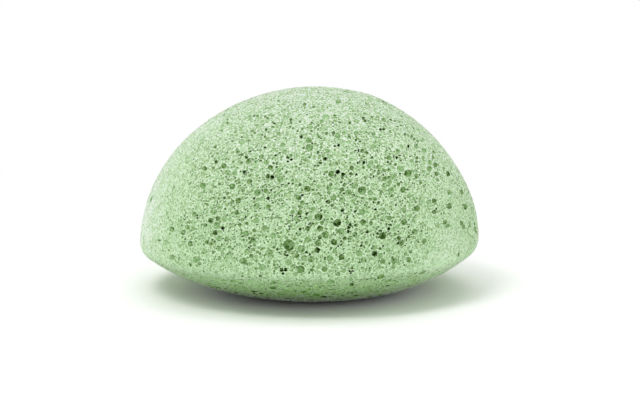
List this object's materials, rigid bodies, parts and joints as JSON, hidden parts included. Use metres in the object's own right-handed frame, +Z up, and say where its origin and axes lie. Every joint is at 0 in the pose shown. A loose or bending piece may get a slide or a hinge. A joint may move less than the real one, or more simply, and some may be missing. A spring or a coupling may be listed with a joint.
{
  "type": "konjac sponge",
  "caption": "Half-ball facial cleansing sponge of moist green open-cell konjac foam, with a bellied underside, held in the hand and squeezed.",
  "frame": {"origin": "middle of the pressed foot, on the surface that the sponge lies on", "axes": "+Z up through the crown of the dome; the pictured side faces -Y"},
  "size_m": [0.08, 0.08, 0.048],
  "materials": {
    "konjac_foam": "matte, moist open-cell plant-fibre foam, pale mint green"
  },
  "bodies": {
    "root": {"sponge_body": "konjac_foam"}
  },
  "joints": []
}
